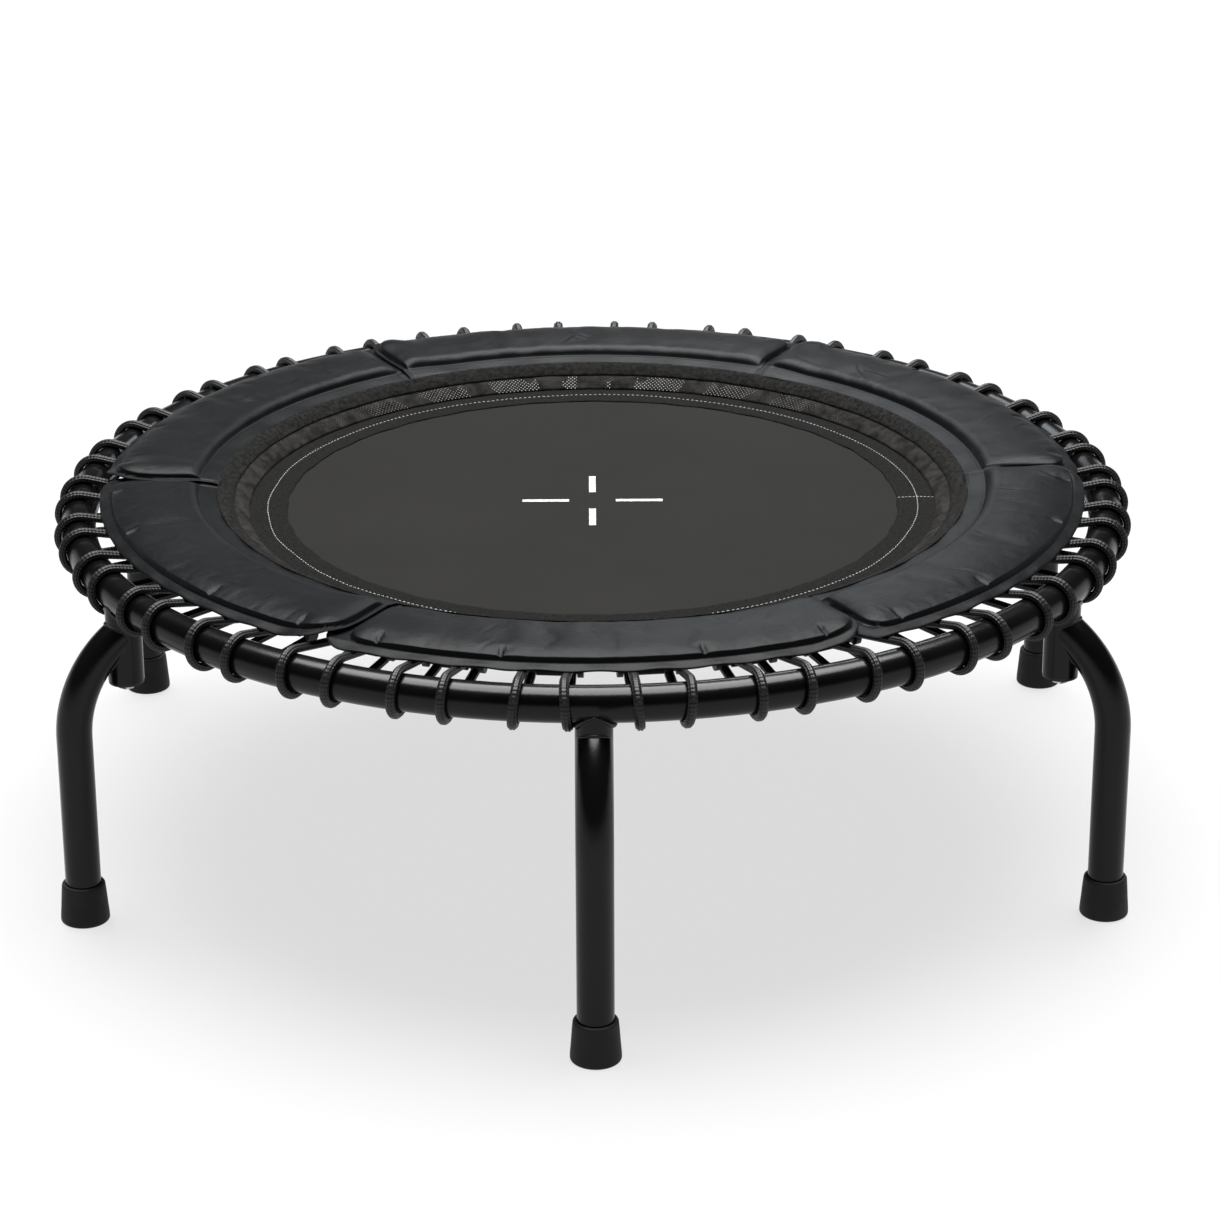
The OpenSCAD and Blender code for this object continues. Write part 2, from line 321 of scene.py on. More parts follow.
def cord_sheath():
    """A woven sheath: fine slanted strands over the ribs that run along the cord, with painted shade in the
    grooves between the ribs.
    """
    p = Paint("cord_sheath", 0.45, 0.32)
    along, around, _ = p.axes()
    left = p.waves(p.math("ADD", along, around), 0.9 * MM)
    right = p.waves(p.math("SUBTRACT", along, around), 0.9 * MM)
    braid = p.half(p.math("MULTIPLY", left, right))
    wear = p.noise(130, 4)
    ridge = p.math("ABSOLUTE", p.waves(around, TAU * CORD_WIDE / 4))
    shade = p.math("ADD", p.math("MULTIPLY", braid, 0.2), p.math("MULTIPLY", wear, 0.3))
    # The ridge term paints shade into the grooves between the ribs and a painted highlight on their tops.
    shade = p.math("ADD", shade, p.math("MULTIPLY", ridge, 0.5))
    p.colour(shade, (0.0004, 0.0004, 0.0005), (0.012, 0.012, 0.012), 0.46, 0.88)
    p.bump(ridge, 0.0004, 0.7)
    p.roughness(wear, 0.34, 0.52)
    p.bump(braid, 0.00006, 0.5)
    return p.material


def mat_fabric():
    """Heavy flat-woven tape yarns, with a fine grid of pinholes between them."""
    p = Paint("mat_fabric", 0.8, 0.06, Sheen_Weight=0.01, Sheen_Roughness=0.5)
    u, v, _ = p.axes()
    weave = p.weave(u, v, 1.5 * MM, 1.5 * MM)
    cloud = p.noise(5, 5)
    yarn = p.noise(330, 2)
    shade = p.math("ADD", p.math("MULTIPLY", weave, 0.5), p.math("MULTIPLY", cloud, 0.2))
    shade = p.math("ADD", shade, p.math("MULTIPLY", yarn, 0.3))
    p.colour(shade, (0.0036, 0.0035, 0.0032), (0.0156, 0.0151, 0.0142), 0.25, 0.7)
    p.roughness(yarn, 0.65, 0.9)
    p.bump(weave, 0.0003, 0.7)
    return p.material


def pad_fabric():
    """A coated plain weave, faintly creased, with painted shade darkening its seams."""
    p = Paint("pad_fabric", 0.5, 0.085)
    u, v, _ = p.axes()
    weave = p.weave(u, v, 0.55 * MM, 0.55 * MM)
    cloud = p.noise(14, 5)
    p.colour(cloud, (0.001, 0.0013, 0.0017), (0.0034, 0.004, 0.0049), 0.3, 0.7)
    # Painted shade: the seam attribute mixes the colour towards near black in the seam grooves, along the
    # outline and on the underside.
    seam = p.nodes.new("ShaderNodeAttribute")
    seam.attribute_name = "painted_seam_shade"
    mix = p.nodes.new("ShaderNodeMix")
    mix.data_type = "RGBA"
    base = p.shader.inputs["Base Color"]
    p.links.new(seam.outputs["Fac"], mix.inputs["Factor"])
    p.links.new(base.links[0].from_socket, mix.inputs[6])
    mix.inputs[7].default_value = (0.0015, 0.0015, 0.0017, 1)
    p.links.new(mix.outputs[2], base)
    p.roughness(p.noise(35, 4), 0.34, 0.46)
    p.bump(p.noise(60, 5, rough=0.6), 0.0012, 0.45)
    p.bump(weave, 0.00008, 0.6)
    return p.material


def ribbed_tape(name, dark, light, rib, speckle):
    """Narrow woven tape: ribs that run along it, with coarse flecks in the yarn."""
    p = Paint(name, 0.85, 0.06, Sheen_Weight=0.01, Sheen_Roughness=0.5)
    across, along, _ = p.axes()
    ribs = p.weave(along, across, rib, rib)
    fleck = p.noise(speckle, 4, rough=0.7)
    shade = p.math("ADD", p.math("MULTIPLY", ribs, 0.2), p.math("MULTIPLY", fleck, 0.8))
    p.colour(shade, dark, light, 0.4, 0.62)
    p.bump(fleck, 0.0007, 0.6)
    p.bump(ribs, 0.0003, 0.7)
    return p.material


def netting():
    """Knitted net: diamond holes between soft yarns, open to what is behind."""
    p = Paint("netting", 0.8, 0.06, Sheen_Weight=0.01, Sheen_Roughness=0.5)
    across, along, _ = p.axes()
    pitch = 8 * MM
    hole_share = 0.42
    crispness = 14.0
    slant_a = p.waves(p.math("ADD", along, across), pitch)
    slant_b = p.waves(p.math("SUBTRACT", along, across), pitch)
    yarn = p.math("MAXIMUM", p.math("ABSOLUTE", slant_a), p.math("ABSOLUTE", slant_b))
    solid = p.math("MULTIPLY", p.math("SUBTRACT", yarn, hole_share), crispness, clamp=True)
    p.wire(solid, p.shader.inputs["Alpha"])
    p.colour(p.noise(90, 4), (0.005, 0.0046, 0.0042), (0.023, 0.0212, 0.0192), 0.36, 0.64)
    p.bump(yarn, 0.0004, 0.8)
    return p.material


def thread(name, dark, light):
    p = Paint(name, 0.6, 0.4, Sheen_Weight=0.3, Sheen_Roughness=0.4)
    p.colour(p.noise(700, 3), dark, light)
    p.bump(p.noise(1800, 2), 0.00012, 0.8)
    return p.material


def print_ink():
    """Screen print that has soaked into the weave and worn a little."""
    p = Paint("print_ink", 0.6)
    p.colour(p.noise(300, 4), (0.22, 0.22, 0.215), (0.42, 0.42, 0.41), 0.3, 0.6)
    p.bump(p.noise(600, 2), 0.0001, 0.8)
    return p.material


def webbing_fabric():
    p = Paint("webbing", 0.8, 0.15, Sheen_Weight=0.05, Sheen_Roughness=0.5)
    x, y, _ = p.axes("Object")
    p.colour(p.noise(320, 3), (0.002, 0.002, 0.002), (0.007, 0.007, 0.007))
    ribs = p.half(p.math("MULTIPLY", p.waves(x, 1.8 * MM), p.waves(y, 1.8 * MM)))
    p.bump(ribs, 0.0003, 0.7)
    return p.material


POWDER = powder_coat()
WELD = weld_metal()
ZINC = zinc()
PLASTIC = moulded_plastic()
RUBBER = rubber()
CORD = cord_sheath()
MAT = mat_fabric()
PAD = pad_fabric()
BORDER = ribbed_tape("binding_tape", (0.001, 0.0009, 0.0008), (0.0092, 0.0088, 0.0082), 1.2 * MM, 330)
BAND = ribbed_tape("rough_band", (0.0005, 0.0005, 0.0005), (0.0145, 0.0138, 0.0128), 1.5 * MM, 230)
NET = netting()
WHITE_THREAD = thread("white_thread", (0.24, 0.24, 0.233), (0.46, 0.46, 0.447))
DARK_THREAD = thread("dark_thread", (0.001, 0.001, 0.001), (0.003, 0.003, 0.003))
INK = print_ink()
WEBBING = webbing_fabric()


# ---------------------------------------------------------------- mesh helpers
def grid(points, rows_at, cols_at, wrap_rows=False, wrap_cols=False, flip=False):
    """(vertices, quads, corner UVs) of a sheet of points[row][column].
    rows_at and cols_at are the marks in metres for the UVs, one more than the points where it wraps."""
    rows, cols = points.shape[:2]
    i, j = np.meshgrid(
        np.arange(rows if wrap_rows else rows - 1),
        np.arange(cols if wrap_cols else cols - 1),
        indexing="ij",
    )
    around = [(0, 0), (1, 0), (1, 1), (0, 1)]
    if flip:
        around.reverse()
    quads = [((i + a) % rows) * cols + (j + b) % cols for a, b in around]
    marks = [np.stack([cols_at[j + b], rows_at[i + a]], -1) for a, b in around]
    return (
        points.reshape(-1, 3),
        np.stack(quads, -1).reshape(-1, 4),
        np.stack(marks, -2).reshape(-1, 2),
    )


def piece(name, parts, material, smooth=True):
    """One object from several (vertices, faces, UVs), with one material."""
    verts, faces, uvs, start = [], [], [], 0
    for v, f, uv in parts:
        verts.append(v)
        faces.extend((np.asarray(f) + start).tolist())
        uvs.append(uv)
        start += len(v)
    mesh = bpy.data.meshes.new(name)
    mesh.from_pydata(np.concatenate(verts).tolist(), [], faces)
    layer = mesh.uv_layers.new(name="UVMap")
    layer.data.foreach_set("uv", np.concatenate(uvs).astype(np.float32).ravel())
    mesh.polygons.foreach_set("use_smooth", [smooth] * len(mesh.polygons))
    mesh.materials.append(material)
    mesh.update()
    made = bpy.data.objects.new(name, mesh)
    bpy.context.scene.collection.objects.link(made)
    return made


def lengths(path):
    """Distance along a path to each of its points."""
    return np.concatenate([[0], np.cumsum(np.linalg.norm(np.diff(path, axis=0), axis=1))])


def rod(path, side, up, radius, corners=6):
    """A round bar swept along an open path. side and up span its section at each point."""
    turn = np.linspace(0, TAU, corners, endpoint=False)
    points = (
        path[:, None, :]
        + side[:, None, :] * (radius * np.cos(turn))[None, :, None]
        + up[:, None, :] * (radius * np.sin(turn))[None, :, None]
    )
    round_it = np.linspace(0, TAU * radius, corners + 1)
    body = grid(points, lengths(path), round_it, wrap_cols=True, flip=True)
    return with_ends(body, len(path), corners)


def with_ends(part, rings, corners):
    """Closes both ends of a swept bar, each with one polygon."""
    verts, faces, uvs = part
    first = list(range(corners))[::-1]
    last = [(rings - 1) * corners + i for i in range(corners)]
    faces = [list(f) for f in faces] + [first, last]
    uvs = np.vstack([uvs, np.zeros((2 * corners, 2))])
    return verts, FaceList(faces), uvs


class FaceList(list):
    """Faces of mixed size that still shift by an offset, as an array of quads does."""

    def __array__(self, dtype=None, copy=None):
        made = np.empty(len(self), dtype=object)
        made[:] = [np.array(f) for f in self]
        return made


def lathe(profile, centre, corners=72):
    """A profile of (radius, height) spun round the vertical line at centre. Its two ends are at radius 0."""
    turn = np.linspace(0, TAU, corners, endpoint=False)
    r, z = profile[:, 0], profile[:, 1]
    points = np.stack(
        [
            centre[0] + r[:, None] * np.cos(turn),
            centre[1] + r[:, None] * np.sin(turn),
            np.broadcast_to(centre[2] + z[:, None], (len(r), corners)),
        ],
        -1,
    )
    round_it = np.linspace(0, TAU * r.max(), corners + 1)
    return grid(points, lengths(profile), round_it, wrap_cols=True, flip=True)


def arc(centre, radius, start, stop, count):
    """Points of (x, y) round a centre, with the angle in degrees."""
    t = np.radians(np.linspace(start, stop, count))
    return np.stack([centre[0] + radius * np.cos(t), centre[1] + radius * np.sin(t)], -1)


def ease(x):
    """A smooth step from 0 to 1 as x goes from 0 to 1."""
    x = np.clip(x, 0, 1)
    return x * x * (3 - 2 * x)


def plump(x):
    """A stuffed edge: steep at 0, then level as x nears 1."""
    return 1 - (1 - np.clip(x, 0, 1)) ** 2.6


def spun(radius, angle, height):
    """Points from radius, azimuth and height arrays that broadcast together."""
    radius, angle, height = np.broadcast_arrays(radius, angle, height)
    return np.stack([radius * np.cos(angle), radius * np.sin(angle), height], -1)


def stands_for(made, body, slot_name, *nodes):
    """A piece that replaces CAD nodes and rides on their body."""
    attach(made, body)
    if nodes:
        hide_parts(*nodes)
    return made


# ---------------------------------------------------------------- steel, bolts and feet
def dress(node, material):
    """A better material for a CAD node whose shape is right."""
    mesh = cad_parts[node].data
    mesh.materials.clear()
    mesh.materials.append(material)
    mesh.polygons.foreach_set("material_index", [0] * len(mesh.polygons))


def weld_bead(name, path, radius):
    """A run of weld: a thin bar along a closed path, with the even ripples of a hand-laid bead.
    radius is one value, or one for each point."""
    ahead = np.roll(path, -1, 0) - np.roll(path, 1, 0)
    ahead /= np.linalg.norm(ahead, axis=1)[:, None]
    side = np.cross(ahead, path - path.mean(0))
    side /= np.linalg.norm(side, axis=1)[:, None]
    up = np.cross(side, ahead)
    corners = 14
    turn = np.linspace(0, TAU, corners, endpoint=False)
    count = np.arange(len(path))
    ripple = radius * (1 + 0.06 * np.sin(count * 1.9) + 0.04 * np.sin(count * 0.7))
    points = path[:, None, :] + ripple[:, None, None] * (
        side[:, None, :] * np.cos(turn)[None, :, None] + up[:, None, :] * np.sin(turn)[None, :, None]
    )
    loop = np.vstack([path, path[:1]])
    round_it = np.linspace(0, 15 * MM, corners + 1)
    made = grid(points, lengths(loop), round_it, True, True)
    return piece(name, [made], WELD)


def leg_frame(k):
    """(outward, sideways) unit vectors of leg k."""
    a = leg_angle(k)
    return np.array([math.cos(a), math.sin(a), 0]), np.array([-math.sin(a), math.cos(a), 0])


def ring_weld(k):
    """Where the spigot's collar meets the underside of the ring: thick below, thin at the sides."""
    out, side = leg_frame(k)
    t = np.linspace(0, TAU, 144, endpoint=False)
    x, y = TUBE_R * np.cos(t), TUBE_R * np.sin(t)
    path = out * (RING_R + 0.96 * x)[:, None] + side * y[:, None]
    path[:, 2] = RING_Z - np.sqrt(TUBE_R**2 - (0.93 * x) ** 2) - 0.3 * MM
    made = weld_bead(f"ring_weld_{k}", path, (1.1 + 2.6 * np.sin(t) ** 2) * MM)
    stands_for(made, "frame", "black_powder_coat")


def arch_weld(k):
    """Where the leg's arch meets the sleeve's outer side."""
    out, side = leg_frame(k)
    centre_r = LEG_R - LEG_BEND_R
    t = np.linspace(0, TAU, 144, endpoint=False)
    reach = LEG_BEND_R + TUBE_R * np.cos(t)
    to_wall = (RING_R - centre_r) + TUBE_R * np.abs(np.cos(t))
    bend = np.arccos(np.clip(to_wall / reach, -1, 1))
    path = out * (centre_r + reach * np.cos(bend))[:, None] + side * (0.97 * TUBE_R * np.sin(t))[:, None]
    path[:, 2] = LEG_BEND_Z + reach * np.sin(bend)
    made = weld_bead(f"arch_weld_{k}", path, (0.45 + 1.2 * np.cos(t) ** 2) * MM)
    stands_for(made, "frame", "black_powder_coat")


def rubber_foot(k):
    """A tapered boot with a rolled rim round the tube and a softened tread edge."""
    out, _ = leg_frame(k)
    profile = np.vstack(
        [
            [[0, 0.6], [12, 0.6], [13, 0.0], [19.6, 0.0]],
            arc((19.6, 2.4), 2.4, -90, 0, 7),
            [[21.9, 6], [21.2, 14], [20.6, 22], [20.1, 29], [19.7, 33]],
            arc((16.9, 34.9), 2.6, 5, 90, 8),
            [[16.35, 37.2], [16.1, 36.4], [16.02, 34], [16.02, 30], [0, 30]],
        ]
    )
    part = lathe(profile * MM, out * LEG_R)
    made = piece(f"rubber_foot_{k}", [part], RUBBER)
    stands_for(made, "frame", "black_rubber", f"foot_{k}")


def make_steel():
    for node in ["frame_ring", "leg_spigots"]:
        dress(node, POWDER)
    for k in range(1, BAYS + 1):
        dress(f"leg_{k}", POWDER)
        dress(f"leg_sleeve_{k}", POWDER)
        ring_weld(k)
        arch_weld(k)
        rubber_foot(k)
    dress("leg_bolts", ZINC)
    dress("spigot_nuts", ZINC)
    dress("leg_washers", PLASTIC)
    dress("cord_toggles", PLASTIC)
    dress("mat_tabs", WEBBING)


# ---------------------------------------------------------------- elastic cords
def cord_track():
    """One loop in its radial plane: points (radius, height), outward normals, all the way round."""
    ring, hook = np.array([RING_R, RING_Z]), np.array([TOGGLE_R, TOGGLE_Z])
    wrap = TUBE_R + CORD_THICK + 0.05 * MM
    span = ring - hook
    tilt = math.degrees(math.atan2(span[1], span[0]))
    taper = math.degrees(math.asin((wrap - HOOK_R) / np.linalg.norm(span)))
    over = arc(ring, wrap, tilt - 90 - taper, tilt + 90 + taper, 38)
    hooked = arc(hook, HOOK_R, tilt + 90 + taper, tilt + 270 - taper, 14)
    step = np.linspace(0, 1, 9)[1:-1, None]
    upper = over[-1] + (hooked[0] - over[-1]) * step
    lower = hooked[-1] + (over[0] - hooked[-1]) * step
    track = np.vstack([over, upper, hooked, lower])
    normals = np.vstack(
        [
            (over - ring) / wrap,
            np.broadcast_to((over[-1] - ring) / wrap, upper.shape),
            (hooked - hook) / HOOK_R,
            np.broadcast_to((over[0] - ring) / wrap, lower.shape),
        ]
    )
    return track, normals


def cord_loop(angle, lean):
    """One loop of cord at an azimuth. lean is how far its wrap is pushed along the ring."""
    track, normals = cord_track()
    near_ring = ease((track[:, 0] - TOGGLE_R) / (RING_R - TOGGLE_R))
    over_top = (track[:, 1] - RING_Z) / TUBE_R
    azimuth = angle + lean * near_ring * over_top
    path = spun(track[:, 0], azimuth, track[:, 1])
    up = spun(normals[:, 0], azimuth, normals[:, 1])
    side = spun(np.ones_like(azimuth), azimuth + math.pi / 2, np.zeros_like(azimuth))
    turn = np.linspace(0, TAU, 32, endpoint=False)
    ribs = 1.03 - 0.24 * (1 - np.abs(np.sin(4 * turn))) ** 2
    points = (
        path[:, None, :]
        + side[:, None, :] * (CORD_WIDE * ribs * np.cos(turn))[None, :, None]
        + up[:, None, :] * (CORD_THICK * ribs * np.sin(turn))[None, :, None]
    )
    loop = np.vstack([path, path[:1]])
    round_it = np.linspace(0, TAU * CORD_WIDE, len(turn) + 1)
    return grid(points, lengths(loop), round_it, True, True)


def make_cords():
    """Each cord passes twice round the ring."""
    for i in range(CORDS):
        middle = FIRST_CORD + i * TAU / CORDS
        loops = [
            cord_loop(middle + side * LOOP_SPREAD / 2, 0.0035 * math.sin(5.1 * i + 2 * side))
            for side in (-1, 1)
        ]
        made = piece(f"elastic_cord_{i + 1}", loops, CORD)
        out = Vector((math.cos(middle), math.sin(middle), 0))
        out * (RING_R - TUBE_R)
        out * (TOGGLE_R - HOOK_R)
        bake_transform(made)
        if i % (CORDS // BAYS) == 0:
            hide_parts(f"elastic_cords_{i // (CORDS // BAYS) + 1}")


# ---------------------------------------------------------------- mat, tape and stitching
def closed_ring(outline, columns, waviness=None):
    """A closed outline of (radius, height) spun right round. waviness(angle, outline) shifts it.
    The faces look outwards whichever way round the outline goes."""
    angle = np.linspace(0, TAU, columns, endpoint=False)
    r = np.broadcast_to(outline[:, 0:1], (len(outline), columns)).copy()
    z = np.broadcast_to(outline[:, 1:2], (len(outline), columns)).copy()
    if waviness is not None:
        dr, dz = waviness(angle[None, :], outline)
        r, z = r + dr, z + dz
    points = spun(r, angle[None, :], z)
    loop = np.vstack([outline, outline[:1]])
    around = np.linspace(0, TAU * outline[:, 0].mean(), columns + 1)
    steps = np.diff(loop, axis=0)
    twice_area = (outline[:, 0] * steps[:, 1] - outline[:, 1] * steps[:, 0]).sum()
    return grid(points, lengths(loop), around, True, True, flip=twice_area > 0)


def make_mat():
    columns = 180
    rings = np.concatenate([np.linspace(0.004, BORDER_INNER_R, 46), [MAT_R - 0.6 * MM]])
    angle = np.linspace(0, TAU, columns, endpoint=False)
    r, a = np.meshgrid(rings, angle, indexing="ij")
    slack = 0.25 * MM * np.sin(3 * a + 9 * r) * np.sin(17 * r) * ease((BORDER_INNER_R - r) / 0.05)
    thick = (MAT_TOP - MAT_LOW) / 2
    middle = (MAT_TOP + MAT_LOW) / 2
    sheets = []
    for side in (1, -1):
        points = spun(r, a, middle + slack + side * thick)
        verts, quads, _ = grid(points, rings, np.zeros(columns + 1), wrap_cols=True, flip=side < 0)
        hub = np.array([[0, 0, middle + side * thick]])
        sheets.append((np.vstack([verts, hub]), quads))
    verts = np.vstack([sheets[0][0], sheets[1][0]])
    half = len(sheets[0][0])
    faces = sheets[0][1].tolist() + (sheets[1][1] + half).tolist()
    last = (len(rings) - 1) * columns
    for j in range(columns):
        n = (j + 1) % columns
        faces.append([half - 1, j, n])
        faces.append([2 * half - 1, half + n, half + j])
        faces.append([last + n, last + j, half + last + j, half + last + n])
    corners = np.array([i for f in faces for i in f])
    uvs = verts[corners][:, :2]
    part = (verts, FaceList(faces), uvs)
    made = piece("jumping_mat", [part], MAT)
    stands_for(made, "jump_mat", "woven_mat", "mat")
    2 * MAT_R
    2 * MAT_R
    math.pi * MAT_R**2


def make_border():
    """The binding tape folded round the mat's edge, slightly scalloped where the stitches pull it."""
    top, low = BORDER_TOP, BORDER_LOW
    inner, outer = BORDER_INNER_R, BORDER_R
    under = MAT_R - 24 * MM
    outline = np.vstack(
        [
            [[inner, MAT_TOP], [inner + 0.2 * MM, top - 0.3 * MM], [inner + 1.2 * MM, top]],
            np.stack([np.linspace(inner + 5 * MM, outer - 3 * MM, 12), np.full(12, top)], -1),
            arc((outer - 1.8 * MM, (top + low) / 2), (top - low) / 2, 80, -80, 9),
            [[outer - 3 * MM, low], [under, low], [under, MAT_LOW - 0.02 * MM]],
            [[MAT_R - 0.5 * MM, MAT_LOW - 0.02 * MM], [MAT_R - 0.4 * MM, MAT_TOP]],
        ]
    )
    seam = (MAT_R - 19 * MM, 1.6 * MM)

    def waviness(angle, shape):
        inner_edge = np.exp(-(((shape[:, 0:1] - inner) / (3 * MM)) ** 2))
        dr = inner_edge * MM * (0.5 * np.sin(29 * angle) + 0.35 * np.sin(53 * angle + 1))
        on_top = (shape[:, 1:2] > MAT_TOP + 0.5 * MM) * 1.0
        crease = -0.45 * MM * np.exp(-(((shape[:, 0:1] - seam[0]) / seam[1]) ** 2))
        ripple = 0.18 * MM * np.sin(41 * angle + 40 * shape[:, 0:1]) * (shape[:, 0:1] < outer - 4 * MM)
        return dr, on_top * (crease + ripple)

    made = piece("border_tape", [closed_ring(outline, 720, waviness)], BORDER)
    stands_for(made, "jump_mat", "binding_tape", "mat_border")
    wide = lengths(np.vstack([outline, outline[:1]]))[-1] / 2
    TAU * (MAT_R - 16 * MM)


def stitches(name, path_at, count, share, radius):
    """A row of lockstitches. path_at(t) gives a point for t from 0 to 1; share is how much of each
    step is thread that shows."""
    parts = []
    for i in range(count):
        t = np.array([i, i + share / 2, i + share]) / count
        path = np.array([path_at(x) for x in t])
        path[1, 2] += radius * 0.8
        path[0, 2] -= radius * 0.5
        path[2, 2] -= radius * 0.5
        ahead = path[2] - path[0]
        ahead /= np.linalg.norm(ahead)
        side = np.cross([0, 0, 1], ahead)
        sides = np.broadcast_to(side, (3, 3))
        ups = np.broadcast_to(np.cross(ahead, side), (3, 3))
        parts.append(rod(path, sides, ups, radius))
    made = piece(name, parts, WHITE_THREAD)
    stands_for(made, "jump_mat", "binding_tape")


def make_border_stitches():
    """The white row round the tape, a little unsteady, and the short row across the tape's join."""
    seam_r = MAT_R - 19 * MM
    lie = BORDER_TOP - 0.15 * MM
    knots = 40
    rng = np.random.default_rng(5)
    wander = rng.uniform(-1.3, 1.3, knots) * MM

    def round_seam(t):
        a = TAU * t
        r = seam_r + np.interp(t * knots, np.arange(knots + 1), np.append(wander, wander[0]))
        return np.array([r * math.cos(a), r * math.sin(a), lie])

    def joining_seam(t):
        r = BORDER_INNER_R + 1.5 * MM + t * (BORDER_R - BORDER_INNER_R - 4 * MM)
        return np.array([r, 2 * MM * math.sin(3 * t), BORDER_TOP])

    stitches("border_stitches", round_seam, 400, 0.55, 0.4 * MM)
    stitches("joining_stitches", joining_seam, 10, 0.7, 0.35 * MM)


def make_print():
    """A plain centring mark: four short bars round an open middle."""
    thin = 0.12 * MM
    inner, outer, half = 22 * MM, 66 * MM, 3.2 * MM
    parts = []
    for k in range(4):
        c, s = math.cos(k * TAU / 4), math.sin(k * TAU / 4)
        along = np.linspace(inner, outer, 12)
        flat = np.array([[[x, y] for y in (-half, half)] for x in along])
        x, y = flat[..., 0], flat[..., 1]
        points = np.stack([x * c - y * s, x * s + y * c, np.full(x.shape, MAT_TOP + 0.3 * MM)], -1)
        low = points.copy()
        low[..., 2] -= thin
        ring = np.stack([points[:, 1], points[:, 0], low[:, 0], low[:, 1]], 1)
        body = grid(ring, along, np.linspace(0, 4 * half, 5), wrap_cols=True, flip=True)
        parts.append(with_ends(body, len(along), 4))
    made = piece("centre_mark", parts, INK, smooth=False)
    stands_for(made, "jump_mat", "woven_mat")


# ---------------------------------------------------------------- the skirt's mesh and band
def strip_ring(inner, outer, thick, columns, ripple, arch):
    """A thin sloping ring from inner (radius, height) to outer. It arches up between its edges by
    arch, with a small ripple along it."""
    t = np.linspace(0, 1, 9)[:, None]
    line = np.array(inner) + (np.array(outer) - np.array(inner)) * t
    slope = np.array(outer) - np.array(inner)
    normal = np.array([-slope[1], slope[0]]) / np.linalg.norm(slope)
    bow = np.sin(math.pi * t) * arch
    top = line + normal * (thick + bow)
    outline = np.vstack([line + normal * bow, top[::-1]])

    def waviness(angle, shape):
        share = (shape[:, 0:1] - inner[0]) / (outer[0] - inner[0])
        inside = np.sin(math.pi * np.clip(share, 0, 1))
        wave = np.sin(23 * angle) + 0.6 * np.sin(37 * angle + 1.3) + 0.4 * np.sin(71 * angle)
        return np.zeros_like(wave * inside), ripple * inside * wave

    return closed_ring(outline, columns, waviness)


def bend_with_mat(made):
    """Bakes the piece's transform into its mesh."""
    still_above = 320 * MM
    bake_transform(made)


def make_net():
    middle_r = 331 * MM
    inner = (MAT_R - 2 * MM, BORDER_TOP + 0.1 * MM)
    outer = (MESH_R + 0.5 * MM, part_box("skirt_mesh")[1].z)
    part = strip_ring(inner, outer, 0.9 * MM, 480, 0.35 * MM, 0.8 * MM)
    made = piece("skirt_net", [part], NET)
    bend_with_mat(made)
    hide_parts("skirt_mesh")
    wide = math.dist(inner, outer)
    TAU * middle_r


def make_band():
    middle_r = 343.5 * MM
    low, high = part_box("skirt_band")
    inner = (MESH_R - 1.5 * MM, low.z + 0.3 * MM)
    outer = (BAND_R + 3 * MM, high.z + 0.4 * MM)
    part = strip_ring(inner, outer, 1.2 * MM, 720, 0.45 * MM, 0.9 * MM)
    made = piece("rough_band", [part], BAND)
    bend_with_mat(made)
    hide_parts("skirt_band")
    wide = math.dist(inner, outer)
    TAU * middle_r


def make_piping():
    """A thin piped edge where the netting meets the rough band."""
    height = 313.6 * MM
    radius = 0.7 * MM
    outline = arc((MESH_R, height), radius, 0, 360, 9)[:-1][::-1]
    made = piece("net_piping", [closed_ring(outline, 360)], DARK_THREAD)
    bend_with_mat(made)


# ---------------------------------------------------------------- padded panels
BASE_MARKS = np.array([BAND_R, PAD_INNER_R, PAD_OUTER_R, HEM_R])
BASE_HEIGHTS = np.array([321.2, 325.0, 325.4, 322.4]) * MM
CLOTH_T = 1.4 * MM
HEM_W = HEM_R - PAD_OUTER_R
HALF_PANEL = math.radians(30)
LAP_OVER = 9 * MM
LAP_UNDER = 8 * MM
CORNER_OVER = 36 * MM
CORNER_UNDER = 30 * MM
SEAM_OUT_OVER = 6 * MM
SEAM_IN_UNDER = 12 * MM
PAD_H = CROWN_Z - BASE_HEIGHTS[1] - 1.2 * MM
TACKS = np.radians([-24, -10, 12, 26])
SWELL_SHARE = 0.6
SWELL_LIMIT = 2.5 * MM


def corner_inset(r, corner):
    """How far the rounded outer corner pulls in a panel's end at a radius."""
    into = np.clip(r - (HEM_R - corner), 0, corner)
    return corner - np.sqrt(np.maximum(corner**2 - into**2, 0))


def edge_distance(to_end, to_hem, corner):
    """Distance to the outline where an end and the hem meet in a rounded corner."""
    inside = (to_end < corner) & (to_hem < corner)
    round_one = corner - np.hypot(corner - to_end, corner - to_hem)
    return np.where(inside, round_one, np.minimum(to_end, to_hem))


def rim_of(rows, cols):
    """Indices of a grid's outer points, once round."""
    rim = [i * cols for i in range(rows)] + [(rows - 1) * cols + j for j in range(1, cols)]
    return rim + [i * cols + cols - 1 for i in range(rows - 2, -1, -1)] + list(range(cols - 2, 0, -1))


def rim_walls(rim, count):
    """Quads from a sheet's rim to the rim of the sheet under it, whose points start at count."""
    return [[p, count + p, count + q, q] for p, q in zip(rim, rim[1:] + rim[:1])]


